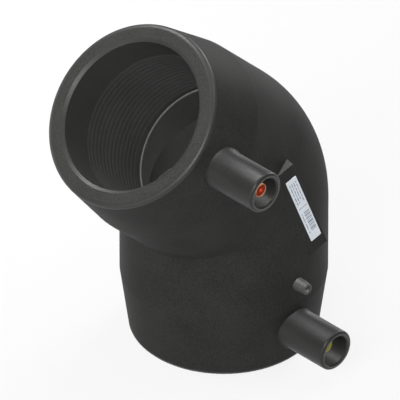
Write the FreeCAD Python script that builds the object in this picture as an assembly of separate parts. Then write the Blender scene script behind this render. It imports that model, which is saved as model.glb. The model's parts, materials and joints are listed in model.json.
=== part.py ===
"""A 45 degree electrofusion elbow for 50 mm polyethylene pipe.

Millimetres. The origin is the centre of the lower mouth, and +Z runs up the lower socket. The upper
socket leans towards -Y, and the terminals point along +X. Each leg is built in a frame of its own,
with +Z from the meeting point of the two socket axes out to the mouth, and +X as in the part.
"""

import FreeCAD, Part
import math
import os

from FreeCAD import Matrix, Placement, Vector

# Sockets and bend
bend_angle = 45.0
leg_length = 60.5          # meeting point of the axes to each mouth
bore_radius = 25.3         # 50 mm pipe with 0.3 mm all round
waterway_radius = 24.5
stop_distance = 11.8       # meeting point of the axes to the shoulder that stops the pipe
barrel_radius = 34.25
taper_length = 22.8        # the barrel narrows over this length towards the mouth
mouth_radius = 31.2
mouth_rounding = 1.65
rounding_steps = 3         # flats that make up each rounding
lead_in_width = 1.1        # chamfer inside the mouth, across the face
lead_in_depth = 0.8
bend_radius = 26.1         # of the waterway's centre line
bend_arcs = 6              # arcs that make up the bend's section

# Heating coil
coil_turns = 14
chords_per_turn = 20       # straight runs that make up one turn
coil_land = 1.1            # plain bore between the pipe stop and the coil
crest_depth = -0.15        # the turns stand this far proud of the bore
root_depth = 0.22          # bottom of the groove between two turns
coil_back_depth = 0.9      # outside of the coil, in the wall
wire_width = 0.6           # of the wire in the wall, drawn square
lead_length = 0.76         # from the coil's outer end to the terminal's tail
mould_gap = 0.02           # between moulded-in pieces and the body

# Terminals
terminal_setback = 13.9    # from the mouth
shroud_radius = 7.0
shroud_reach = 17.75       # above the barrel
shroud_depth = 15.8
shroud_bore_radius = 5.15
shroud_lip = 0.5           # chamfer inside the rim
shroud_rim_rounding = 0.95
shroud_root_width = 0.45   # the root spreads by this much where it meets the barrel
shroud_root_height = 0.6   # above the barrel
pin_radius = 2.35
pin_recess = 4.8           # pin's end below the shroud's rim
pin_foot_radius = 2.9      # the foot is moulded in, up to the shroud's floor
pin_foot_cover = 1.8       # from the coil's back to the pin's foot
tail_radius = 0.6
plug_stem_radius = 0.9
plug_stem_length = 2.5
plug_height = {"red": 2.6, "yellow": 0.6}

# Fusion indicators
indicator_setback = 31.9   # from the mouth
chimney_radius = 1.9
chimney_root_radius = 2.35
chimney_height = 4.45      # above the barrel
chimney_bore_radius = 1.2
chimney_floor = 3.2        # below the barrel's surface
indicator_gap = 0.05
indicator_recess = 0.9

# Label and its raised pad
pad_height = 0.35          # above the barrel's highest line, at the label's middle
pad_tilt = 8.0             # the pad sinks towards the inside of the bend, and runs out into the barrel
pad_length = 41.8
pad_outer = 3.1            # from the label's middle, towards the outside of the bend
pad_inner = 4.6
pad_depth = 7.0
pad_edge = 0.15
label_length = 31.4
label_width = 4.3
label_centre = 2.1         # from the meeting point of the axes, towards the outside of the bend
label_thickness = 0.12

centre = Vector(0, 0, leg_length)
half_bend = math.radians(bend_angle / 2)
tangent_length = bend_radius * math.tan(half_bend)
terminal_at = leg_length - terminal_setback
indicator_at = leg_length - indicator_setback
shroud_tip = barrel_radius + shroud_reach
shroud_floor = shroud_tip - shroud_depth
pin_end = shroud_tip - pin_recess
crest_radius = bore_radius + crest_depth
root_radius = bore_radius + root_depth
coil_back_radius = bore_radius + coil_back_depth
wire_line = (root_radius + coil_back_radius) / 2
coil_start = stop_distance + coil_land
coil_end = terminal_at - tail_radius - lead_length
coil_pitch = (coil_end - coil_start) / coil_turns
pin_foot = coil_back_radius + pin_foot_cover
pad_top = barrel_radius + pad_height


def frame(origin, x, y, z):
    """A placement that puts the local axes along three given directions."""
    rows = [x.x, y.x, z.x, origin.x, x.y, y.y, z.y, origin.y, x.z, y.z, z.z, origin.z, 0, 0, 0, 1]
    return Placement(Matrix(*rows))


def leg_frame(direction):
    """The frame of one leg: +Z out to the mouth, +X as in the part."""
    return frame(centre, outwards, direction.cross(outwards), direction)


outwards = Vector(1, 0, 0)     # along the terminals
upper_direction = Vector(0, -math.sin(math.radians(bend_angle)), math.cos(math.radians(bend_angle)))
legs = {"upper": leg_frame(upper_direction), "lower": leg_frame(Vector(0, 0, -1))}

# Directions at the middle of the bend: along it, and towards its inside
along_bend = Vector(0, -math.sin(half_bend), math.cos(half_bend))
inside_bend = Vector(0, -math.cos(half_bend), -math.sin(half_bend))
bend_axis_point = Vector(0, -bend_radius, leg_length - tangent_length)


def placed(shape, placement):
    copy = shape.copy()
    copy.Placement = placement.multiply(copy.Placement)
    return copy


def turned(points, axis=Vector(0, 0, 1)):
    """A solid of revolution about a local axis through the origin, from a closed outline."""
    outline = Part.Face(Part.makePolygon(points + points[:1]))
    return outline.revolve(Vector(0, 0, 0), axis, 360)


def turned_about_leg(outline):
    """Revolve an outline of (radius, distance) pairs about the leg."""
    return turned([Vector(r, 0, t) for r, t in outline])


def turned_about_x(outline, at):
    """Revolve an outline of (distance, radius) pairs about the local X axis, placed along the leg."""
    shape = turned([Vector(x, r, 0) for x, r in outline], Vector(1, 0, 0))
    shape.translate(Vector(0, 0, at))
    return shape


def rounded_edge(middle_r, middle_t, radius, start_angle=0.0):
    """Flats round an outer edge, as (radius, distance) pairs, ending square to the axis."""
    points = []
    for step in range(rounding_steps + 1):
        angle = start_angle + (math.pi / 2 - start_angle) * step / rounding_steps
        points.append((middle_r + radius * math.cos(angle), middle_t + radius * math.sin(angle)))
    return points


def rounded_mouth():
    """Outline of the rounding between the taper and the mouth's face, tangent to both."""
    taper = math.atan((barrel_radius - mouth_radius) / taper_length)
    middle_r = mouth_radius - mouth_rounding * (1 - math.sin(taper)) / math.cos(taper)
    return rounded_edge(middle_r, leg_length - mouth_rounding, mouth_rounding, taper)


def barrel():
    """The outside of one leg, in its own frame, from well behind the meeting point to the mouth."""
    behind = -2 * barrel_radius
    outline = [(0, behind), (barrel_radius, behind), (barrel_radius, leg_length - taper_length)]
    outline += rounded_mouth() + [(0, leg_length)]
    return turned_about_leg(outline)


def half_space(direction):
    """A large block behind the mitre plane, as seen along one leg."""
    size = 8 * barrel_radius
    block = Part.makeBox(size, size, size, Vector(-size / 2, -size / 2, 0))
    return placed(block, frame(centre, outwards, direction.cross(outwards), direction))


def bend_wedge():
    """The prism between the two tangent planes, on the outside of the bend axis."""
    reach = 4 * barrel_radius
    depth = 4 * barrel_radius
    start = bend_axis_point - Vector(depth / 2, 0, 0)
    corners = [start]
    for share in (0, 0.5, 1):
        angle = share * math.radians(bend_angle)
        corners.append(start + Vector(0, math.cos(angle), math.sin(angle)) * reach)
    return Part.Face(Part.makePolygon(corners + corners[:1])).extrude(Vector(depth, 0, 0))


def bend_section_point(angle):
    """A point on the barrel's circle where the lower leg ends and the bend starts."""
    return Vector(barrel_radius * math.cos(angle), barrel_radius * math.sin(angle), bend_axis_point.z)


def bend_sector():
    """The barrel bent about the bend axis. Its circle is cut off where it would pass the axis, and the
    rest is drawn as a few arcs, so that no face of the bend is a large one."""
    start = -math.asin(bend_radius / barrel_radius)
    step = (math.pi - 2 * start) / bend_arcs
    corners = [start + step * i for i in range(bend_arcs)]
    edges = [Part.Arc(*[bend_section_point(corner + share * step) for share in (0, 0.5, 1)]).toShape()
             for corner in corners]
    edges.append(Part.makeLine(bend_section_point(math.pi - start), bend_section_point(start)))
    return Part.Face(Part.Wire(edges)).revolve(bend_axis_point, outwards, bend_angle)


def body_outside():
    """Both barrels mitred together, with the outside of the bend swept round."""
    upper = placed(barrel(), legs["upper"]).common(half_space(along_bend))
    lower = placed(barrel(), legs["lower"]).common(half_space(along_bend * -1))
    mitred = upper.fuse(lower).cut(bend_wedge())
    return mitred.fuse(bend_sector()).removeSplitter()


def shroud():
    """The outside of a terminal's shroud, in its leg's frame. Its root spreads into the barrel."""
    rounding = shroud_rim_rounding
    rim = rounded_edge(shroud_radius - rounding, shroud_tip - rounding, rounding)
    outline = [(0, 0), (0, shroud_radius + shroud_root_width),
               (barrel_radius - shroud_root_height, shroud_radius + shroud_root_width),
               (barrel_radius + shroud_root_height, shroud_radius)]
    outline += [(x, r) for r, x in rim] + [(shroud_tip, 0)]
    return turned_about_x(outline, terminal_at)


def shroud_hole():
    lip = shroud_bore_radius + shroud_lip
    outline = [(shroud_floor, 0), (shroud_floor, shroud_bore_radius),
               (shroud_tip - shroud_lip, shroud_bore_radius), (shroud_tip, lip), (shroud_tip + 1, lip),
               (shroud_tip + 1, 0)]
    return turned_about_x(outline, terminal_at)


def chimney():
    tip = barrel_radius + chimney_height
    outline = [(0, 0), (0, chimney_root_radius), (barrel_radius, chimney_root_radius), (tip, chimney_radius),
               (tip, 0)]
    return turned_about_x(outline, indicator_at)


def chimney_hole():
    floor = barrel_radius - chimney_floor
    tip = barrel_radius + chimney_height
    outline = [(floor, 0), (floor, chimney_bore_radius), (tip + 1, chimney_bore_radius), (tip + 1, 0)]
    return turned_about_x(outline, indicator_at)


def label_frame():
    """The frame of the pad's face: the origin under the label's middle, +X along the bend, +Y towards
    its inside and +Z out of the face."""
    tilt = math.radians(pad_tilt)
    origin = centre + outwards * pad_top - inside_bend * label_centre
    across = inside_bend * math.cos(tilt) - outwards * math.sin(tilt)
    return frame(origin, along_bend, across, along_bend.cross(across))


def pad():
    """The raised pad for the label, lined up with the middle of the bend."""
    corner = Vector(-pad_length / 2, -pad_outer, -pad_depth)
    block = Part.makeBox(pad_length, pad_inner + pad_outer, pad_depth, corner)
    top_edges = [edge for edge in block.Edges if edge.BoundBox.ZMin > -1e-6]
    return placed(block.makeChamfer(pad_edge, top_edges), label_frame())


def socket_hollow():
    """The bore of one socket with its coil recess and lead-in, in the leg's frame."""
    back = coil_back_radius + mould_gap
    lead_in = bore_radius + lead_in_width
    outline = [(0, stop_distance), (bore_radius, stop_distance), (bore_radius, coil_start - mould_gap),
               (back, coil_start - mould_gap), (back, coil_end + mould_gap),
               (bore_radius, coil_end + mould_gap), (bore_radius, leg_length - lead_in_depth),
               (lead_in, leg_length), (lead_in, leg_length + 1), (0, leg_length + 1)]
    return turned_about_leg(outline)


def waterway():
    """The passage between the two pipe stops, left by two straight cores that meet at the mitre."""
    behind = 2 * waterway_radius
    core = Part.makeCylinder(waterway_radius, behind + stop_distance + 1, Vector(0, 0, -behind))
    upper = placed(core, legs["upper"]).common(half_space(along_bend))
    lower = placed(core, legs["lower"]).common(half_space(along_bend * -1))
    return upper.fuse(lower)


def straight_wire(width, start, end):
    """A straight run of the wire in the wall, between two distances along the leg."""
    corner = Vector(wire_line - width / 2, -width / 2, start)
    return Part.makeBox(width, width, end - start, corner)


def link_wire(width):
    """The wire in the wall that joins the two coils, along the side of the bend."""
    corner = Vector(wire_line - width / 2, -width / 2, bend_axis_point.z)
    section = Part.makePlane(width, width, corner)
    shape = section.revolve(bend_axis_point, Vector(1, 0, 0), bend_angle)
    straight = straight_wire(width, tangent_length, coil_start + wire_width)
    for leg in legs.values():
        shape = shape.fuse(placed(straight, leg))
    return shape


def lead_wire(width):
    """The short wire from the coil's outer end to the terminal's tail, in the leg's frame."""
    return straight_wire(width, coil_end - wire_width, coil_end + lead_length)


def pin_foot_outline(grow):
    """Half section of the moulded-in part of a terminal pin, as (distance, radius) pairs."""
    tail, foot = tail_radius + grow, pin_foot_radius + grow
    tail_start = wire_line - wire_width / 2 - grow
    return [(tail_start, 0), (tail_start, tail), (pin_foot - grow, tail), (pin_foot - grow, foot),
            (shroud_floor, foot)]


def pin_seat():
    """The hollow in the body that a terminal pin is moulded into."""
    return turned_about_x(pin_foot_outline(mould_gap) + [(shroud_floor, 0)], terminal_at)


def terminal_pin():
    """The contact pin, with a hole in its end for the coloured plug."""
    free_end = [(shroud_floor, pin_radius), (pin_end, pin_radius), (pin_end, 0)]
    shape = turned_about_x(pin_foot_outline(0) + free_end, terminal_at)
    depth = plug_stem_length + 2 * mould_gap
    hole = Part.makeCylinder(plug_stem_radius + mould_gap, depth + 1,
                             Vector(pin_end - depth, 0, terminal_at), Vector(1, 0, 0))
    return shape.cut(hole)


def terminal_plug(height):
    """A coloured end plug: a cap over the pin's end, with a stem in the pin's hole."""
    seat = pin_end + mould_gap
    face = seat + height
    outline = [(pin_end - plug_stem_length, 0), (pin_end - plug_stem_length, plug_stem_radius),
               (seat, plug_stem_radius), (seat, pin_radius), (face, pin_radius), (face, 0)]
    return turned_about_x(outline, terminal_at)


def indicator_pin():
    radius = chimney_bore_radius - indicator_gap
    start = barrel_radius - chimney_floor + indicator_gap
    end = barrel_radius + chimney_height - indicator_recess
    return Part.makeCylinder(radius, end - start, Vector(start, 0, indicator_at), Vector(1, 0, 0))


def elbow_body():
    shape = body_outside().fuse(pad())
    for leg in legs.values():
        shape = shape.fuse([placed(shroud(), leg), placed(chimney(), leg)])
    channel = wire_width + 2 * mould_gap
    hollows = [waterway(), link_wire(channel)]
    for leg in legs.values():
        local = [socket_hollow(), shroud_hole(), chimney_hole(), pin_seat(), lead_wire(channel)]
        hollows += [placed(hollow, leg) for hollow in local]
    return shape.cut(hollows).removeSplitter()


def helix_turn(radius, start):
    """One turn of the coil's helix in straight runs, whose middles lie at the radius."""
    corner_radius = radius / math.cos(math.pi / chords_per_turn)
    points = []
    for corner in range(chords_per_turn + 1):
        share = corner / chords_per_turn
        angle = 2 * math.pi * share
        points.append(Vector(corner_radius * math.cos(angle), corner_radius * math.sin(angle),
                             start + coil_pitch * share))
    return [Part.makeLine(a, b) for a, b in zip(points, points[1:])]


def coil_sleeve():
    """Coated wire wound side by side. Each turn has a crest towards the pipe and meets the next in a
    groove. Two spare turns are wound, and a plain sleeve trims them and the back of the coil."""
    turns = coil_turns + 2
    spare_back = coil_back_radius + coil_pitch / 2
    first = coil_start - 1.5 * coil_pitch
    last = first + turns * coil_pitch
    roots = [helix_turn(root_radius, first + i * coil_pitch) for i in range(turns + 1)]
    crests = [helix_turn(crest_radius, first + (i + 0.5) * coil_pitch) for i in range(turns)]
    back_start, back_end = helix_turn(spare_back, first), helix_turn(spare_back, last)
    pairs = [(roots[i], crests[i]) for i in range(turns)]
    pairs += [(crests[i], roots[i + 1]) for i in range(turns)]
    pairs += [(back_start, roots[0]), (back_end, roots[-1]), (back_start, back_end)]
    faces = [Part.makeRuledSurface(a, b) for turn_a, turn_b in pairs for a, b in zip(turn_a, turn_b)]
    for low, middle, high in ((roots[0], crests[0], roots[1]), (roots[-2], crests[-1], roots[-1])):
        end = 0 if low is roots[0] else -1
        inner = [run[end].Vertexes[end].Point for run in (low, middle, high)]
        outer = [Vector(back_start[0].Vertexes[0].X, 0, point.z) for point in (inner[2], inner[0])]
        faces.append(Part.Face(Part.makePolygon(inner + outer + inner[:1])))
    wound = Part.makeCompound(faces)
    wound.sewShape()
    trim = Part.makeCylinder(coil_back_radius, coil_end - coil_start, Vector(0, 0, coil_start))
    return Part.Solid(wound.Shells[0]).common(trim)


def heating_coil():
    """Both coils, the wire between them and the leads to the terminals: one wire on the real part."""
    pieces = []
    for leg in legs.values():
        pieces += [placed(coil_sleeve(), leg), placed(lead_wire(wire_width), leg)]
    return link_wire(wire_width).fuse(pieces)


def traceability_label():
    """A thin printed label that lies flat on the pad."""
    corner = Vector(-label_length / 2, -label_width / 2, 0)
    return placed(Part.makeBox(label_length, label_width, label_thickness, corner), label_frame())


def export(name, shape):
    solids = shape.Solids
    result = solids[0] if len(solids) == 1 else Part.makeCompound(solids)
    result.exportStep("parts/" + name + ".step")
    print(name, "solids", len(solids), "valid", result.isValid(), "volume", round(result.Volume, 1))


os.makedirs("parts", exist_ok=True)
export("elbow_body", elbow_body())
export("heating_coil", heating_coil())
export("traceability_label", traceability_label())
for side, colour in (("upper", "red"), ("lower", "yellow")):
    leg = legs[side]
    export(side + "_terminal_pin", placed(terminal_pin(), leg))
    export(colour + "_terminal_plug", placed(terminal_plug(plug_height[colour]), leg))
    export(side + "_indicator_pin", placed(indicator_pin(), leg))
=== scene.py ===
# %% [markdown]
# # Dressing an electrofusion elbow
# The part is a black polyethylene elbow that joins two pipes. A wire wound into each socket melts the
# plastic when a welding machine is plugged on to the two terminals. The body, the pins and the coloured
# plugs arrive as solids from the CAD model. This lesson gives them their finishes, replaces the pieces
# whose small forms matter in a close view, and sets up a plain studio round them.

# %% Load the frame
import json
import math

import bmesh
import bpy
from mathutils import Matrix, Vector


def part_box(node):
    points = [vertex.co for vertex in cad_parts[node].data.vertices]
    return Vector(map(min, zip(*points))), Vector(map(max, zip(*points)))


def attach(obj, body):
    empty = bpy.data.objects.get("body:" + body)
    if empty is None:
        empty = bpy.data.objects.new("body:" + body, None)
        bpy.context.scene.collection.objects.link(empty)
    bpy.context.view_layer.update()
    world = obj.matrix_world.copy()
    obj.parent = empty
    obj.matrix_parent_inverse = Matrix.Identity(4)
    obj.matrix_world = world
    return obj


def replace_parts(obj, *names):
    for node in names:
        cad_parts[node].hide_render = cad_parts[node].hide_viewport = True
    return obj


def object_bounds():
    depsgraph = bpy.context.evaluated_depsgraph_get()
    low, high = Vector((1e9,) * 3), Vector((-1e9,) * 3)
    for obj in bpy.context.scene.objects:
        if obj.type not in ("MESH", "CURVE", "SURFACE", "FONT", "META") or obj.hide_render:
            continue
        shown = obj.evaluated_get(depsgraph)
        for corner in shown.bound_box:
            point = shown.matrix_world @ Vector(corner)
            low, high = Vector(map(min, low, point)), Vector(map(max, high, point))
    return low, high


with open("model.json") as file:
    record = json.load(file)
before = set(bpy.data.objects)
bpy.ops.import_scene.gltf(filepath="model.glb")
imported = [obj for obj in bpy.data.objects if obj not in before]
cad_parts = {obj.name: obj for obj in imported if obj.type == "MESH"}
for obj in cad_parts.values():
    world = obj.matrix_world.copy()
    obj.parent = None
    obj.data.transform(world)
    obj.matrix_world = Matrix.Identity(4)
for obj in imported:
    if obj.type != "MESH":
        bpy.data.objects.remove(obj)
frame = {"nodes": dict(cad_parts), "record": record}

cad_low, cad_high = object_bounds()
nodes = frame["nodes"]
print("CAD nodes:", ", ".join(sorted(nodes)))

# %% [markdown]
# ## Two legs, one set of measurements
# Both sockets are alike, so each small piece is made once in a leg's own frame and placed twice. A leg's
# frame starts where the two socket axes meet. Its Z axis runs out to the mouth, and its X axis points
# along the terminals. The record's mounts and the boxes of the CAD pieces say where most things are. A
# size that neither of them gives is written out here, as it is in the CAD model.

# %% Leg frames and sizes
MM = 0.001
mounts = {mount["name"]: mount for mount in frame["record"]["mounts"]}


def leg_matrix(centre, direction):
    """The frame of one leg as a matrix: +Z out to the mouth, +X as in the part."""
    x = Vector((1, 0, 0))
    z = Vector(direction).normalized()
    y = z.cross(x)
    turn = Matrix((x, y, z)).transposed().to_4x4()
    return Matrix.Translation(centre) @ turn


leg_length = 60.5 * MM
axes_meet = Vector((0, 0, leg_length))
legs = {side: leg_matrix(axes_meet, mounts[side + "_socket"]["axis"]) for side in ("upper", "lower")}
body_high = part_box("elbow_body")[1]
barrel_radius, shroud_tip = body_high.y, body_high.x
terminal_at = leg_length - mounts["lower_terminal"]["pos_m"][2]
pin_radius = mounts["lower_terminal"]["dims"]["r_mm"] * MM
print(f"Barrel {2 * barrel_radius / MM:.1f} mm across, "
      f"terminals {terminal_at / MM:.1f} mm out along each leg")


# %% [markdown]
# ## Helpers for meshes
# A bmesh is a mesh held open for editing. Each piece starts as a bmesh, is shaped with operators, and
# then becomes an object. Joining the doubled points and turning the faces outwards comes last, because
# a spin leaves a seam and can leave the shape inside out. Three small distances say which points become
# one, which of them lie on a cut, and how near two places have to be to count as the same.

# %% From bmesh to piece
merge_distance = 0.002 * MM
cut_tolerance = 0.001 * MM
near = 0.01 * MM


def close_up(bm):
    """Merge doubled points and turn every face outwards."""
    bmesh.ops.remove_doubles(bm, verts=bm.verts, dist=merge_distance)
    bmesh.ops.recalc_face_normals(bm, faces=bm.faces)


def cut(bm, point, normal, **cleared):
    """Cut along a plane. clear_outer=True clears the side that the normal points to, clear_inner=True
    the other."""
    bmesh.ops.bisect_plane(bm, geom=bm.verts[:] + bm.edges[:] + bm.faces[:], plane_co=point,
                           plane_no=normal, dist=cut_tolerance, **cleared)


def pour(bm, into):
    """Add one bmesh to another, and free it."""
    held = bpy.data.meshes.new("held")
    bm.to_mesh(held)
    bm.free()
    into.from_mesh(held)
    bpy.data.meshes.remove(held)


def add_object(name, data):
    """A new object in the scene."""
    obj = bpy.data.objects.new(name, data)
    bpy.context.scene.collection.objects.link(obj)
    return obj


def piece(name, bm, material, smooth_angle=40):
    """Turn a bmesh into an object that rides on the part."""
    mesh = bpy.data.meshes.new(name)
    bm.to_mesh(mesh)
    bm.free()
    mesh.materials.append(material)
    mesh.shade_smooth()
    mesh.set_sharp_from_angle(angle=math.radians(smooth_angle))
    obj = add_object(name, mesh)
    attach(obj, "root")
    print(f"{name}: {len(mesh.polygons)} faces")
    return obj


def lathe(bm, outline, axis, steps=64, closed=False):
    """Spin an outline of points a full turn about an axis through the origin."""
    corners = [bm.verts.new(point) for point in outline]
    after = corners[1:] + corners[:1] if closed else corners[1:]
    edges = [bm.edges.new(pair) for pair in zip(corners, after)]
    bmesh.ops.spin(bm, geom=corners + edges, cent=(0, 0, 0), axis=axis, angle=math.tau, steps=steps,
                   use_merge=True, use_duplicate=False)


def arc(middle, radius, start=0.0, steps=8):
    """Points round an edge, from an angle off the radial direction until square to the axis."""
    angles = [start + (math.pi / 2 - start) * i / steps for i in range(steps + 1)]
    return [(middle[0] + radius * math.cos(a), middle[1] + radius * math.sin(a)) for a in angles]


def on_both_legs(build):
    """Build a shape in a leg's frame, once for each leg, and join the two."""
    both = bmesh.new()
    for leg in legs.values():
        one = bmesh.new()
        build(one)
        close_up(one)
        one.transform(leg)
        pour(one, both)
    return both


# %% [markdown]
# ## Moulded polyethylene
# Pipe fittings are moulded from black polyethylene. Its surface is never quite even: a fine grain from
# the mould breaks up the reflections, and slow waves of tone come from the way the plastic cooled. Two
# noise patterns do this. The small one drives the bump and the roughness, and both together shift the
# colour a little. They read Object coordinates, so they stay put on the part. Each region of the mould
# had its own polish, so the plastic comes in a few grades: polished on the shrouds and chimneys, glossy
# on the mouth's edges, and coarse on the mouth's face. Some grades also carry painted light: the inside
# of the sockets, the winding and the bend are paler as painted fill light in the shaded hollows, the
# mouth's face is paler for the light that falls on it, and the chimneys, the beads of the pipe stops and
# the flat ends of the shrouds are paler as painted highlights.

# %% Plastic finishes
wave_size = 14 * MM
tone_low, tone_high = 0.4, 0.6
noise_low, noise_high = 0.35, 0.65


def new_material(name):
    """A material, its node tree and its shader."""
    material = bpy.data.materials.new(name)
    material.use_nodes = True
    return material, material.node_tree, material.node_tree.nodes["Principled BSDF"]


def noise(tree, coords, scale, detail=2.0):
    """A noise pattern on the given coordinates, in features per metre."""
    node = tree.nodes.new("ShaderNodeTexNoise")
    node.inputs["Scale"].default_value = scale
    node.inputs["Detail"].default_value = detail
    tree.links.new(coords, node.inputs["Vector"])
    return node.outputs["Fac"]


def mixed(tree, first, second, share):
    """Two patterns mixed, with the given share of the second."""
    node = tree.nodes.new("ShaderNodeMix")
    node.inputs["Factor"].default_value = share
    tree.links.new(first, node.inputs["A"])
    tree.links.new(second, node.inputs["B"])
    return node.outputs["Result"]


def ramp(tree, value, stops):
    """A colour ramp from (position, colour) stops."""
    node = tree.nodes.new("ShaderNodeValToRGB")
    for element, (place, colour) in zip(node.color_ramp.elements, stops):
        element.position = place
        element.color = (*colour, 1)
    tree.links.new(value, node.inputs["Fac"])
    return node.outputs["Color"]


def rough_range(tree, value, low, high):
    """Spread a pattern between two roughness values."""
    node = tree.nodes.new("ShaderNodeMapRange")
    node.inputs["From Min"].default_value = noise_low
    node.inputs["From Max"].default_value = noise_high
    node.inputs["To Min"].default_value = low
    node.inputs["To Max"].default_value = high
    tree.links.new(value, node.inputs["Value"])
    return node.outputs["Result"]


def plastic(name, dark, light, rough=(0.5, 0.62), grain_size=0.5, grain_height=0.08, grain_share=0.6,
            specular=0.05):
    """A moulded plastic with slow waves of tone and a fine grain. The grain's sizes are in millimetres."""
    material, tree, shader = new_material(name)
    coords = tree.nodes.new("ShaderNodeTexCoord").outputs["Object"]
    waves = noise(tree, coords, 1 / wave_size, detail=3)
    grain = noise(tree, coords, 1 / (grain_size * MM))
    tone = mixed(tree, waves, grain, grain_share)
    stops = ((tone_low, dark), (tone_high, light))
    tree.links.new(ramp(tree, tone, stops), shader.inputs["Base Color"])
    tree.links.new(rough_range(tree, grain, *rough), shader.inputs["Roughness"])
    bump = tree.nodes.new("ShaderNodeBump")
    bump.inputs["Strength"].default_value = 1.0
    bump.inputs["Distance"].default_value = grain_height * MM
    tree.links.new(grain, bump.inputs["Height"])
    tree.links.new(bump.outputs["Normal"], shader.inputs["Normal"])
    shader.inputs["Specular IOR Level"].default_value = specular
    return material


body_plastic = plastic("moulded_polyethylene", (0.0205, 0.0205, 0.0199), (0.0325, 0.0325, 0.0315),
                       grain_share=0.7)
polished_plastic = plastic("polished_polyethylene", (0.016, 0.016, 0.0155), (0.022, 0.022, 0.0213),
                           rough=(0.36, 0.44), grain_height=0.03, specular=0.3)
# Painted highlight: the chimneys are paler than the body, so that their tops show bright.
painted_highlight_chimney_plastic = plastic("chimney_polyethylene_painted_highlight", (0.055, 0.055, 0.0534), (0.07, 0.07, 0.068),
                          rough=(0.36, 0.44), grain_height=0.03, specular=0.3)
# Painted light: the bore's and the bend's plastics are paler than the outside, as fill light in the shaded
# socket and bend.
bore_painted_fill_plastic = plastic("bore_polyethylene_painted_fill", (0.033, 0.033, 0.032), (0.042, 0.042, 0.0407))
bend_painted_fill_plastic = plastic("bend_polyethylene_painted_fill", (0.045, 0.045, 0.0437), (0.06, 0.06, 0.0582))
# Painted highlight: this pale plastic draws bright lines on the beads of the pipe stops and on the flat
# ends of the shrouds.
painted_highlight_plastic = plastic("pale_polyethylene_painted_highlight", (0.09, 0.09, 0.0873), (0.12, 0.12, 0.116), specular=0.15)
edge_plastic = plastic("glossy_edge_polyethylene", (0.018, 0.018, 0.0175), (0.025, 0.025, 0.0243),
                       rough=(0.42, 0.5), grain_height=0.03, specular=0.4)
# Partly painted light: the coarse grain is the face's own, its paler colour stands for light falling on
# it.
coarse_painted_light_plastic = plastic("coarse_polyethylene_painted_light", (0.03, 0.03, 0.0285), (0.0435, 0.0435, 0.0413),
                         grain_height=0.15, grain_share=0.75)
# Painted light: the winding's coating is paler than the outside, as fill light in the shaded socket.
coil_painted_fill_plastic = plastic("wire_coating_painted_fill", (0.039, 0.039, 0.0378), (0.05, 0.05, 0.0485), specular=0.15)
red_plastic = plastic("red_plug_plastic", (0.55, 0.06, 0.025), (0.65, 0.08, 0.035), grain_height=0.01)
dark_red_plastic = plastic("dark_red_plastic", (0.2, 0.02, 0.008), (0.25, 0.027, 0.01), grain_height=0.01)
orange_plastic = plastic("orange_ring_plastic", (0.4, 0.2, 0.11), (0.48, 0.25, 0.14), grain_height=0.01)
yellow_plastic = plastic("yellow_plug_plastic", (0.22, 0.21, 0.05), (0.28, 0.27, 0.065), grain_height=0.01)
indicator_plastic = plastic("indicator_plastic", (0.03, 0.03, 0.029), (0.038, 0.038, 0.037))
print("Plastics:", ", ".join(material.name for material in bpy.data.materials))


# %% [markdown]
# ## Turned brass
# The contact pins are turned on a lathe, which leaves fine rings round them. The rings are noise that is
# stretched round the pin: a Mapping node squeezes the pattern along the pin's axis and leaves it long
# in the other two directions. The pins run along X, so X gets the large scale.

# %% Brass finish
ring_size = 2 * MM
ring_stretch = (12, 1, 1)
brass_stops = ((0.3, (0.42, 0.3, 0.13)), (0.7, (0.55, 0.41, 0.19)))
brass_rough = (0.25, 0.42)


def turned_brass(name):
    """Brass with fine lathe rings about the X axis."""
    material, tree, shader = new_material(name)
    shader.inputs["Metallic"].default_value = 1.0
    coords = tree.nodes.new("ShaderNodeTexCoord").outputs["Object"]
    stretch = tree.nodes.new("ShaderNodeMapping")
    stretch.inputs["Scale"].default_value = ring_stretch
    tree.links.new(coords, stretch.inputs["Vector"])
    rings = noise(tree, stretch.outputs["Vector"], 1 / ring_size)
    tree.links.new(ramp(tree, rings, brass_stops), shader.inputs["Base Color"])
    tree.links.new(rough_range(tree, rings, *brass_rough), shader.inputs["Roughness"])
    return material


contact_brass = turned_brass("turned_brass")


# %% [markdown]
# ## Finishes for the CAD pieces
# The body and the two contact pins already have the right shape, so they only get a finish. The other
# pieces are replaced further on, and get a finish too. A CAD node is never moved or reshaped here.

# %% Assign finishes
finishes = {"heating_coil": coil_painted_fill_plastic}
for side in legs:
    finishes[side + "_terminal_pin"] = contact_brass
    finishes[side + "_indicator_pin"] = indicator_plastic
for name, node in nodes.items():
    node.data.materials.clear()
    node.data.materials.append(finishes.get(name, body_plastic))
print("Finished", len(nodes), "CAD nodes")


# %% [markdown]
# ## The heating winding
# In the real socket a coated wire lies side by side, turn after turn, just under the surface. It shows
# as a row of low rounded ridges. The CAD solid has a plain ridge for each turn, and here each turn gets
# a true bead. One bead's profile is spun round the socket. The spin's dvec moves it a little along the
# axis at every step, which makes a helix. Two spare turns are cut away with bisect_plane, so the winding
# starts and ends flat, and the back is bridged shut.

# %% Winding sizes
coil_turns, spare_turns, turns_before = 14, 2, 1.5
bead_points, bead_fullness = 9, 0.8
coil_steps = 96
coil_start, coil_end = 12.9 * MM, 45.24 * MM
coil_pitch = (coil_end - coil_start) / coil_turns
crest_radius, root_radius = 25.15 * MM, 25.3 * MM
coil_back = 26.2 * MM
print(f"Winding pitch {coil_pitch / MM:.2f} mm")


# %% Wind the coil
def bead_profile():
    """Points over one pitch of the winding: a groove at each end and a rounded crest between."""
    points = []
    for i in range(bead_points + 1):
        share = i / bead_points
        rise = math.sin(math.pi * share) ** bead_fullness
        radius = root_radius - (root_radius - crest_radius) * rise
        points.append(Vector((radius, 0, coil_start + (share - turns_before) * coil_pitch)))
    return points


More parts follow.
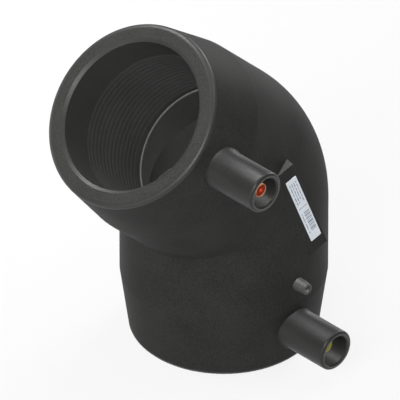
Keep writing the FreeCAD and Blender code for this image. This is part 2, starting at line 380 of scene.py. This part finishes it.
def winding(bm):
    """The inside of the winding, wound and cut to length."""
    turns = coil_turns + spare_turns
    corners = [bm.verts.new(point) for point in bead_profile()]
    edges = [bm.edges.new(pair) for pair in zip(corners, corners[1:])]
    bmesh.ops.spin(bm, geom=corners + edges, cent=(0, 0, 0), axis=(0, 0, 1),
                   dvec=(0, 0, coil_pitch / coil_steps), angle=math.tau * turns,
                   steps=turns * coil_steps, use_duplicate=False)
    bmesh.ops.remove_doubles(bm, verts=bm.verts, dist=merge_distance)
    for place, normal in ((coil_start, (0, 0, -1)), (coil_end, (0, 0, 1))):
        cut(bm, (0, 0, place), normal, clear_outer=True)


def rim(bm, place):
    """The open edge of the winding at one distance along the leg."""
    return [edge for edge in bm.edges if edge.is_boundary
            and all(abs(vert.co.z - place) < near for vert in edge.verts)]


def wind_coil(bm):
    """One whole winding: the inside, with its open edges carried to the coil's back and bridged."""
    winding(bm)
    outer = []
    for place in (coil_start, coil_end):
        grown = bmesh.ops.extrude_edge_only(bm, edges=rim(bm, place))["geom"]
        for vert in (item for item in grown if isinstance(item, bmesh.types.BMVert)):
            vert.co.xy = vert.co.xy.normalized() * coil_back
        outer += [item for item in grown if isinstance(item, bmesh.types.BMEdge) and item.is_boundary]
    bmesh.ops.bridge_loops(bm, edges=outer)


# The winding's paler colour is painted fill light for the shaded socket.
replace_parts(piece("heating_windings", on_both_legs(wind_coil), coil_painted_fill_plastic,
                  smooth_angle=60), "heating_coil")


# %% [markdown]
# ## Mouth rims
# Each mouth ends in a rounded edge. On the CAD solid a few flats stand for the rounding, and here a thin
# skin with a true arc covers it. It starts on the outside, runs round the edge, over the flat face and
# down the chamfer inside, and goes back through the wall. The rounding and the chamfer are glossy and
# catch the light as a thin line. The flat face has a coarser grain from the mould's end plate, and a paler
# colour, which is painted light for the light falling on the face. Its faces get this second material, and
# only they lie wholly beyond the CAD face.

# %% Mouth sizes
skin = 0.015 * MM
mouth_rounding = 1.65 * MM
mouth_radius = 31.2 * MM
taper_length = 22.8 * MM
taper_angle = math.atan2(barrel_radius - mouth_radius, taper_length)
bore_radius = mounts["lower_socket"]["dims"]["r_mm"] * MM
lead_in_width, lead_in_depth = 1.1 * MM, 0.8 * MM
wall_depth = 1.2 * MM
rim_steps = 160
print(f"Taper {math.degrees(taper_angle):.1f} degrees")


# %% Turn the mouth rims
def mouth_rim(bm):
    """The skin of one mouth, in its leg's frame."""
    middle_r = mouth_radius - mouth_rounding * (1 - math.sin(taper_angle)) / math.cos(taper_angle)
    edge = arc((middle_r, leg_length - mouth_rounding), mouth_rounding + skin, taper_angle)
    chamfer_end = leg_length - lead_in_depth
    back = chamfer_end - wall_depth
    outline = edge + [(bore_radius + lead_in_width, leg_length + skin), (bore_radius - skin, chamfer_end),
                      (bore_radius + wall_depth, back), (edge[0][0] - wall_depth, back)]
    lathe(bm, [Vector((r, 0, t)) for r, t in outline], (0, 0, 1), steps=rim_steps, closed=True)
    for face in bm.faces:
        face.material_index = int(min(vert.co.z for vert in face.verts) > leg_length)


rims = piece("mouth_rims", on_both_legs(mouth_rim), edge_plastic, smooth_angle=30)
rims.data.materials.append(coarse_painted_light_plastic)


# %% [markdown]
# ## Pipe stops
# Behind the winding a shoulder stops the pipe. Its inner edge keeps a fine round bead from the mould. The
# bead's pale colour is a painted highlight, which shows as a bright ring deep in the socket. A full turn
# of a small circle makes it.

# %% Turn the pipe stops
stop_distance = 11.8 * MM
waterway_radius = 24.5 * MM
bead_radius, bead_offset, bead_sides = 0.3 * MM, 0.1 * MM, 12
inside_steps = 128


def stop_bead(bm):
    """The bead on one shoulder's inner edge, in its leg's frame."""
    turns = [math.tau * i / bead_sides for i in range(bead_sides)]
    outline = [Vector((waterway_radius + bead_offset + bead_radius * math.cos(a), 0,
                       stop_distance + bead_radius * math.sin(a))) for a in turns]
    lathe(bm, outline, (0, 0, 1), steps=inside_steps, closed=True)


piece("stop_beads", on_both_legs(stop_bead), painted_highlight_plastic, smooth_angle=60)


# %% [markdown]
# ## Linings
# Steel cores form the inside of the fitting. Thin linings cover that surface: a tube on each side of the
# winding, and one from each shoulder to the middle of the bend. Their colour is painted light: a shade
# paler than the outside, and palest in the bend, to stand in for light in the shaded socket and passage.
# The two tubes of the bend are cut by bisect_plane where they meet, and bridge_loops closes the cut.

# %% Line the sockets and the bend
half_bend = math.radians(22.5)
along_bend = Vector((0, -math.sin(half_bend), math.cos(half_bend)))
past_bend = 0.5 * waterway_radius
lining_proud, lining_wall = 0.06 * MM, 0.3 * MM


def tube(bm, radius, start, end):
    """A thin tube round the leg's axis. Its inside clears the flats of the CAD bore."""
    inside, outside = radius - lining_proud, radius + lining_wall
    corners = ((inside, start), (inside, end), (outside, end), (outside, start))
    lathe(bm, [Vector((r, 0, t)) for r, t in corners], (0, 0, 1), steps=inside_steps, closed=True)


def bend_lining():
    """The two tubes of the bend, cut along the plane where they meet."""
    both = bmesh.new()
    for side, kept in (("upper", along_bend), ("lower", -along_bend)):
        bm = bmesh.new()
        tube(bm, waterway_radius, -past_bend, stop_distance)
        bmesh.ops.remove_doubles(bm, verts=bm.verts, dist=merge_distance)
        bm.transform(legs[side])
        cut(bm, axes_meet, kept, clear_inner=True)
        bmesh.ops.bridge_loops(bm, edges=[edge for edge in bm.edges if edge.is_boundary])
        close_up(bm)
        pour(bm, both)
    return both


piece("bend_lining", bend_lining(), bend_painted_fill_plastic, smooth_angle=30)
for name, start, end in (("entry_linings", coil_end, leg_length - lead_in_depth),
                         ("stop_linings", stop_distance, coil_start)):
    piece(name, on_both_legs(lambda bm: tube(bm, bore_radius, start, end)), bore_painted_fill_plastic,
          smooth_angle=30)


# %% [markdown]
# ## Shrouds and chimneys
# A core in the mould forms each shroud, the tube round a contact pin, and a smaller one the chimney
# beside it. A sleeve a hair larger than the CAD tube covers each from its root to its rim, and gives it a
# round bore and its own glossier finish. The chimney's finish is also paler than the body, as a painted
# highlight on its top. The shroud's rim gets a true arc too. The faces of its flat end get the pale
# plastic as a second material, a painted highlight that draws a thin bright ring there.

# %% Shroud and chimney sizes
shroud_radius = 7 * MM
shroud_rounding = 0.95 * MM
shroud_bore_radius = 5.15 * MM
shroud_lip = 0.5 * MM
bore_proud = 0.04 * MM
shroud_floor = shroud_tip - 15.8 * MM
chimney_at = leg_length - 31.9 * MM
chimney_tip = barrel_radius + 4.45 * MM
chimney_radius, chimney_root_radius, chimney_bore_radius = 1.9 * MM, 2.35 * MM, 1.2 * MM
root_spread, root_height = 0.45 * MM, 0.6 * MM
shroud_start, chimney_start = barrel_radius - 4 * MM, barrel_radius - 3 * MM
shroud_steps, chimney_steps = 96, 48
print(f"Shrouds end {shroud_tip / MM:.1f} mm from the leg's axis, chimneys {chimney_tip / MM:.1f} mm")


# %% Turn the sleeves
def lathe_along_x(bm, outline, at, steps):
    """Spin an outline of (distance, radius) pairs about the local X axis, and move it along the leg."""
    lathe(bm, [Vector((x, r, 0)) for x, r in outline], (1, 0, 0), steps=steps, closed=True)
    bmesh.ops.translate(bm, verts=bm.verts, vec=(0, 0, at))


def shroud_sleeve(bm):
    """The sleeve of one shroud, in its leg's frame."""
    middle = (shroud_radius - shroud_rounding, shroud_tip - shroud_rounding)
    foot = shroud_radius + root_spread + skin
    inside = shroud_bore_radius - bore_proud
    outline = [(shroud_start, foot), (barrel_radius - root_height, foot),
               (barrel_radius + root_height, shroud_radius + skin)]
    outline += [(x, r) for r, x in arc(middle, shroud_rounding + skin)]
    outline += [(shroud_tip + skin, shroud_bore_radius + shroud_lip),
                (shroud_tip - shroud_lip, inside), (shroud_floor, inside)]
    lathe_along_x(bm, outline, terminal_at, shroud_steps)
    for face in bm.faces:
        face.material_index = int(min(vert.co.x for vert in face.verts) > shroud_tip)


def chimney_sleeve(bm):
    """The sleeve of one chimney, in its leg's frame."""
    foot = chimney_root_radius + skin
    inside = chimney_bore_radius - skin
    outline = [(chimney_start, foot), (barrel_radius, foot), (chimney_tip + skin, chimney_radius + skin),
               (chimney_tip + skin, inside), (chimney_start, inside)]
    lathe_along_x(bm, outline, chimney_at, chimney_steps)


sleeves = piece("shroud_sleeves", on_both_legs(shroud_sleeve), polished_plastic,
                smooth_angle=30)
sleeves.data.materials.append(painted_highlight_plastic)
piece("chimney_sleeves", on_both_legs(chimney_sleeve), painted_highlight_chimney_plastic, smooth_angle=30)


# %% [markdown]
# ## Coloured plugs
# Each contact pin ends in a moulded plug. Its face is stepped: a rim, a sunk ring, and a small boss in
# the middle. The red plug has a paler rim and a darker ring. The outline is drawn from the end of the
# stem to the middle of the face and spun about the pin's axis. How far a face is from that axis then
# gives its material.

# %% Plug outlines
stem_length, stem_radius = 2.5 * MM, 0.9 * MM
groove_radius = pin_radius - 0.3 * MM
groove_depth = 0.2 * MM
boss_radius = 0.7 * MM
edge_round = 0.15 * MM
plug_steps = 48


def plug_outline(back, face):
    """Half section of a plug along X, from the end of its stem round to the middle of its face."""
    edge, floor = face - edge_round, face - groove_depth
    return [(back - stem_length, 0, 0), (back - stem_length, stem_radius, 0), (back, stem_radius, 0),
            (back, pin_radius, 0), (edge, pin_radius, 0), (face, pin_radius - edge_round, 0),
            (face, groove_radius + edge_round, 0), (edge, groove_radius, 0), (floor, groove_radius, 0),
            (floor, boss_radius, 0), (edge, boss_radius, 0), (face, boss_radius - edge_round, 0),
            (face, 0, 0)]


def move_to_box(bm, low, high):
    """Move a shape made round the X axis so that its axis runs through the middle of a box."""
    bmesh.ops.translate(bm, verts=bm.verts, vec=Vector((0, *((low + high) / 2).yz)))


# %% Turn the plugs
def add_plug(node, side, boss_colour, ring_colour, rim_colour):
    """A detailed plug in place of the CAD one."""
    low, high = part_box(node)
    back = low.x + stem_length
    bm = bmesh.new()
    lathe(bm, [Vector(point) for point in plug_outline(back, high.x)], (1, 0, 0), steps=plug_steps)
    close_up(bm)
    for face in bm.faces:
        middle = face.calc_center_median()
        away = math.hypot(middle.y, middle.z)
        if middle.x > back and away > boss_radius - near:
            face.material_index = 2 if away > groove_radius - near else 1
    move_to_box(bm, low, high)
    plug = piece(side + "_plug", bm, boss_colour)
    plug.data.materials.append(ring_colour)
    plug.data.materials.append(rim_colour)
    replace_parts(plug, node)


add_plug("red_terminal_plug", "upper", red_plastic, dark_red_plastic, orange_plastic)
add_plug("yellow_terminal_plug", "lower", yellow_plastic, yellow_plastic, yellow_plastic)


# %% [markdown]
# ## Fusion indicators
# Beside each terminal a slim pin waits in a small chimney. Melt pushes it up during a weld. Its tip is
# rounded, so the outline ends in a short arc before it meets the axis.

# %% Turn the indicator pins
tip_share, tip_steps = 0.5, 5
indicator_steps = 32


def add_indicator(side):
    """A round-tipped pin in place of the CAD one."""
    low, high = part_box(side + "_indicator_pin")
    radius = (high.y - low.y) / 2
    round_tip = tip_share * radius
    outline = [Vector((low.x, 0, 0)), Vector((low.x, radius, 0))]
    for i in range(tip_steps + 1):
        angle = math.pi / 2 * i / tip_steps
        outline.append(Vector((high.x - round_tip + round_tip * math.sin(angle),
                               radius - round_tip + round_tip * math.cos(angle), 0)))
    outline.append(Vector((high.x, 0, 0)))
    bm = bmesh.new()
    lathe(bm, outline, (1, 0, 0), steps=indicator_steps)
    close_up(bm)
    move_to_box(bm, low, high)
    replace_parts(piece(side + "_indicator", bm, indicator_plastic),
                side + "_indicator_pin")


for side in legs:
    add_indicator(side)


# %% [markdown]
# ## The printed label
# A strip of white film lies on the raised pad. Its corners are rounded, and its print is plain: rows of
# short dashes at one end, a thin line across, and bars with one more row of dashes at the other end. The
# film is a plate with its four upright edges bevelled. The print is a set of very thin plates, about a
# hundredth of a millimetre proud of the film, made by loops. The lengths of the dashes and the gaps
# between the bars follow a short count that starts again, so that neither looks too even.

# %% Film and ink
film = plastic("label_film", (0.68, 0.72, 0.78), (0.76, 0.8, 0.86), rough=(0.35, 0.45), grain_size=0.6,
               grain_height=0.003, grain_share=0.3)
ink = plastic("label_ink", (0.24, 0.27, 0.32), (0.3, 0.33, 0.38), rough=(0.45, 0.55), grain_height=0.002)

pad_tilt = math.radians(8)
inside_bend = Vector((0, -math.cos(half_bend), -math.sin(half_bend)))
across_bend = inside_bend * math.cos(pad_tilt) - Vector((math.sin(pad_tilt), 0, 0))
label_low, label_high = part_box("traceability_label")
label_length, label_width, film_thickness = 31.4 * MM, 4.3 * MM, 0.12 * MM
label_axes = Matrix((along_bend, across_bend, along_bend.cross(across_bend))).transposed().to_4x4()
label_frame = Matrix.Translation((label_low + label_high) / 2) @ label_axes
film_top = film_thickness / 2
corner_radius, corner_steps = 0.45 * MM, 6
ink_height = 0.008 * MM


# %% Cut the film
def add_bar(bm, x, y, length, width, bottom, height):
    """A thin plate on the label, centred at x, y."""
    size = Matrix.Diagonal((length, width, height, 1))
    bmesh.ops.create_cube(bm, size=1, matrix=Matrix.Translation((x, y, bottom + height / 2)) @ size)


bm = bmesh.new()
add_bar(bm, 0, 0, label_length, label_width, -film_top, film_thickness - ink_height)
upright = [edge for edge in bm.edges if abs(edge.verts[0].co.z - edge.verts[1].co.z) > near]
bmesh.ops.bevel(bm, geom=upright, offset=corner_radius, affect="EDGES", segments=corner_steps,
                profile=0.5, material=-1)
bm.transform(label_frame)
close_up(bm)
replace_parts(piece("label_strip", bm, film), "traceability_label")

# %% Print sizes, in millimetres along the label and across it
dash_width = 0.3
row_places, row_start, row_end = (-1.3, -0.45, 0.4, 1.25), 13.6, 2.6
row_dash, row_growth, row_gap, row_dashes = 0.8, 0.5, 0.5, 7
line_place, line_width, line_height = 0.9, 0.3, 3.5
bar_widths = (0.5, 0.25, 0.7, 0.25, 0.45, 0.3, 0.8, 0.25, 0.5, 0.25, 0.7, 0.35)
bar_start, bar_middle, bar_height = -1.6, -0.55, 2.2
bar_gap, gap_growth = 0.3, 0.12
end_row, end_start, end_spacing = 1.35, -2.0, 1.35
end_dash, end_growth, end_dashes = 0.6, 0.4, 8


# %% Print the label
def print_mark(bm, x, y, length, width):
    """One printed mark, centred at x, y."""
    add_bar(bm, x * MM, y * MM, length * MM, width * MM, film_top - 2 * ink_height, 2 * ink_height)


bm = bmesh.new()
for row, y in enumerate(row_places):
    x = row_start
    for i in range(row_dashes):
        length = row_dash + row_growth * ((2 * i + 3 * row) % 4)
        if x - length < row_end:
            break
        print_mark(bm, x - length / 2, y, length, dash_width)
        x -= length + row_gap
print_mark(bm, line_place, 0, line_width, line_height)
x = bar_start
for i, width in enumerate(bar_widths):
    print_mark(bm, x - width / 2, bar_middle, width, bar_height)
    x -= width + bar_gap + gap_growth * (i % 3)
for i in range(end_dashes):
    length = end_dash + end_growth * (i % 3)
    print_mark(bm, end_start - end_spacing * i, end_row, length, dash_width)
bm.transform(label_frame)
piece("label_print", bm, ink)


# %% [markdown]
# ## Ends of the label's pad
# The pad is a flat block sunk into the round barrel, so its ends stand out of it as small steps. They
# were formed by a polished edge of the mould, and the upper one catches the light. A thin plate over each
# end carries that finish.

# %% Cover the pad's ends
pad_length, pad_outer, pad_inner = 41.8 * MM, 3.1 * MM, 4.6 * MM
pad_edge, plate_depth, plate_thickness = 0.15 * MM, 3 * MM, 4 * skin
plate_width = pad_inner + pad_outer - 2 * pad_edge
plate_bottom = -film_top - plate_depth
bm = bmesh.new()
for end in (-1, 1):
    add_bar(bm, end * (pad_length / 2 - skin), (pad_inner - pad_outer) / 2, plate_thickness, plate_width,
            plate_bottom, plate_depth - pad_edge)
bm.transform(label_frame)
piece("pad_ends", bm, polished_plastic)


# %% [markdown]
# ## The studio
# The part stands on a plain pale floor that fills the view. The camera sees it as white because its
# material adds a little light for camera and mirror rays only, so no extra light falls on the part.
# Under that it is still a diffuse surface, so it keeps the soft shadow. The world is a dim even white.

# %% Floor and world
floor_size, floor_drop = 3, 0.05 * MM
floor_tone, floor_glow, world_level = 0.35, 0.38, 0.12


def camera_or_mirror(tree):
    """1 for a ray from the camera, or one that left a shiny or clear surface, and 0 otherwise."""
    path = tree.nodes.new("ShaderNodeLightPath")
    total = path.outputs["Is Camera Ray"]
    for name in ("Is Glossy Ray", "Is Transmission Ray"):
        either = tree.nodes.new("ShaderNodeMath")
        either.operation = "MAXIMUM"
        tree.links.new(total, either.inputs[0])
        tree.links.new(path.outputs[name], either.inputs[1])
        total = either.outputs["Value"]
    return total


bm = bmesh.new()
bmesh.ops.create_grid(bm, x_segments=1, y_segments=1, size=floor_size)
bmesh.ops.translate(bm, verts=bm.verts, vec=(0, 0, -floor_drop))
floor_mesh = bpy.data.meshes.new("floor")
bm.to_mesh(floor_mesh)
bm.free()
floor = add_object("floor", floor_mesh)

floor_material, tree, shader = new_material("white_floor")
shader.inputs["Base Color"].default_value = (floor_tone, floor_tone, floor_tone, 1)
shader.inputs["Roughness"].default_value = 1.0
shader.inputs["Specular IOR Level"].default_value = 0.0
glow = tree.nodes.new("ShaderNodeEmission")
gain = tree.nodes.new("ShaderNodeMath")
gain.operation = "MULTIPLY"
gain.inputs[1].default_value = floor_glow
tree.links.new(camera_or_mirror(tree), gain.inputs[0])
tree.links.new(gain.outputs["Value"], glow.inputs["Strength"])
both = tree.nodes.new("ShaderNodeAddShader")
tree.links.new(shader.outputs["BSDF"], both.inputs[0])
tree.links.new(glow.outputs["Emission"], both.inputs[1])
tree.links.new(both.outputs["Shader"], tree.nodes["Material Output"].inputs["Surface"])
floor_mesh.materials.append(floor_material)

world = bpy.data.worlds.new("studio")
bpy.context.scene.world = world
world.use_nodes = True
background = world.node_tree.nodes["Background"]
background.inputs["Color"].default_value = (1, 1, 1, 1)
background.inputs["Strength"].default_value = world_level


# %% [markdown]
# ## Lamps
# A broad lamp beside the camera gives most of the light, and draws the bright line round the mouth. A
# wide one behind the part draws the line along the terminals, and a long one overhead lights the top.
# These cast no shadow, so that they reach into the sockets. Four more round the part do, and keep the
# soft shadow on the floor. A lamp's level is the brightness that a white surface facing it would have
# from it alone. Together they give a surface that faces the camera a level a little above one.

# %% Place the lamps
part_middle = (cad_low + cad_high) / 2


def lamp(name, direction, distance, size, level, shadow=True):
    """A flat lamp in a direction from the part's middle. It faces the part, with its first side level."""
    light = bpy.data.lights.new(name, "AREA")
    light.shape = "RECTANGLE"
    light.size, light.size_y = size
    light.energy = level * math.pi ** 2 * distance ** 2
    light.use_shadow = shadow
    obj = add_object(name, light)
    away = Vector(direction).normalized()
    obj.location = part_middle + away * distance
    obj.rotation_euler = away.to_track_quat("Z", "Y").to_euler()


lamp("camera_lamp", (0.58, -0.58, 0.58), 0.8, (0.2, 0.2), 0.6, shadow=False)
lamp("back_lamp", (-0.58, 0.06, 0.81), 0.7, (0.5, 0.14), 1.1, shadow=False)
lamp("overhead_lamp", (0.3, 0.35, 0.85), 0.7, (0.5, 0.15), 0.35, shadow=False)
lamp("front_lamp", (0.35, -0.75, 0.55), 0.8, (0.4, 0.4), 0.25)
lamp("left_lamp", (-0.9, -0.45, 0.15), 0.8, (0.3, 0.3), 0.2)
lamp("low_lamp", (0.05, -0.98, 0.05), 0.8, (0.3, 0.3), 0.2)
lamp("rear_lamp", (-0.2, 0.95, 0.25), 0.8, (0.3, 0.3), 0.35)

# %% [markdown]
# ## The camera
# The photograph looks down on one corner of the part, with the same angle to all three axes. Lines that
# are parallel on the part stay parallel in it, so the camera stands far away with a long lens. The
# picture's width in millimetres on the part sets how far. The point where the two axes meet lies a little
# to the right of the picture's middle and above it.

# %% Set the camera
photo_scale = 3.06 / MM
photo_size = 400
picture_width = photo_size / photo_scale
meet_right, meet_up = 23.907 / photo_scale, 30.307 / photo_scale
back = Vector((1, -1, 1)).normalized()
right = Vector((1, 1, 0)).normalized()
up = back.cross(right)

camera_data = bpy.data.cameras.new("camera")
camera_data.sensor_width = 36
camera_data.lens = 1400
distance = picture_width / 2 / math.tan(camera_data.angle / 2)
camera_data.clip_end = 2 * distance
camera = add_object("camera", camera_data)
target = axes_meet - right * meet_right - up * meet_up
camera.location = target + back * distance
camera.rotation_euler = back.to_track_quat("Z", "Y").to_euler()
bpy.context.scene.camera = camera
bpy.context.scene.view_settings.view_transform = "Standard"
print(f"Camera {distance:.1f} m away")
